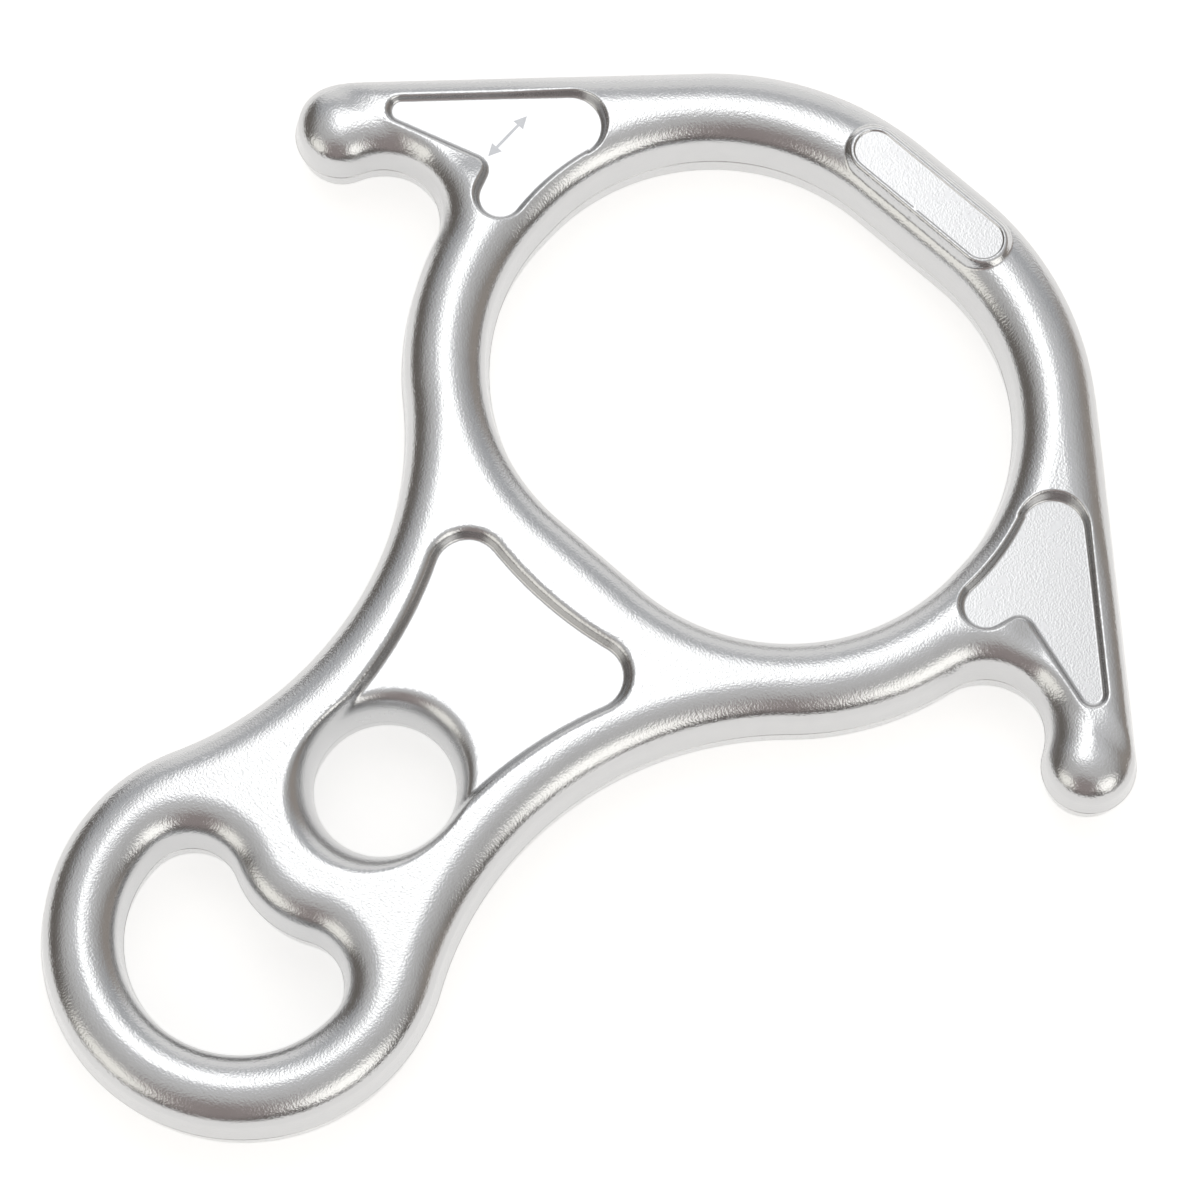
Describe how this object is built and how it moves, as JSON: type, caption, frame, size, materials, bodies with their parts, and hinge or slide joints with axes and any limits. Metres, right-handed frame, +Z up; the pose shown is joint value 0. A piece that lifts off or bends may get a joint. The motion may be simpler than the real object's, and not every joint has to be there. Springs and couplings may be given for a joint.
{
  "type": "figure-eight descender",
  "caption": "One-piece forged metal rope descender: a large rope ring with side ears, a waisted shank with a round hole, and a small kidney-shaped eye.",
  "frame": {"origin": "centre of the footprint, on the face the part lies on", "axes": "+X across the ears, +Y along the shank toward the rope ring, +Z up through the thickness"},
  "size_m": [0.1512, 0.174, 0.0166],
  "materials": {
    "polished_aluminium": "bare forging, tumbled and polished to a bright sheen"
  },
  "bodies": {
    "root": {"forged_body": "polished_aluminium"}
  },
  "joints": []
}
